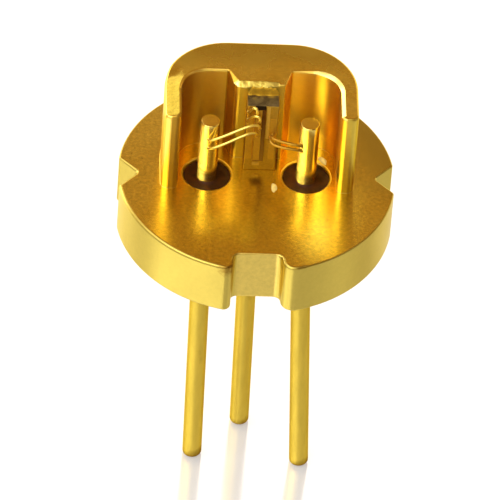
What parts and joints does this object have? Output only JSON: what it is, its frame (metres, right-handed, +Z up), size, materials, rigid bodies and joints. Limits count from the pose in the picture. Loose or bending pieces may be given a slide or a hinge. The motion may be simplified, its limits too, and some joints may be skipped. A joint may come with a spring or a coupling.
{
  "type": "laser diode",
  "caption": "Uncapped laser diode on a round gold-plated header: a C-shaped heat-sink frame holds the chip, fine bond wires reach posts in glass seals, and slim leads run below.",
  "frame": {"origin": "centre of the flange's top face", "axes": "+Z up along the light beam, +Y from the chip towards the frame's back, +X towards the right post"},
  "size_m": [0.0056, 0.0055, 0.0099],
  "materials": {
    "gold_plate": "satin gold plating on metal",
    "lead_gold": "satin gold plating on drawn wire",
    "seal_glass": "dark glossy sealing glass",
    "submount_ceramic": "grey ceramic with a thin metal film on its front",
    "chip": "semiconductor with a gold contact",
    "wire_gold": "bright drawn gold wire"
  },
  "bodies": {
    "root": {"stem_flange": "gold_plate", "heat_sink_frame": "gold_plate", "left_lead": "lead_gold", "right_lead": "lead_gold", "ground_lead": "lead_gold", "left_glass_seal": "seal_glass", "right_glass_seal": "seal_glass", "submount": "submount_ceramic", "laser_chip": "chip", "left_wire_upper": "wire_gold", "left_wire_lower": "wire_gold", "chip_wire_upper": "wire_gold", "chip_wire_lower": "wire_gold", "right_wire_upper": "wire_gold", "right_wire_lower": "wire_gold"}
  },
  "joints": []
}
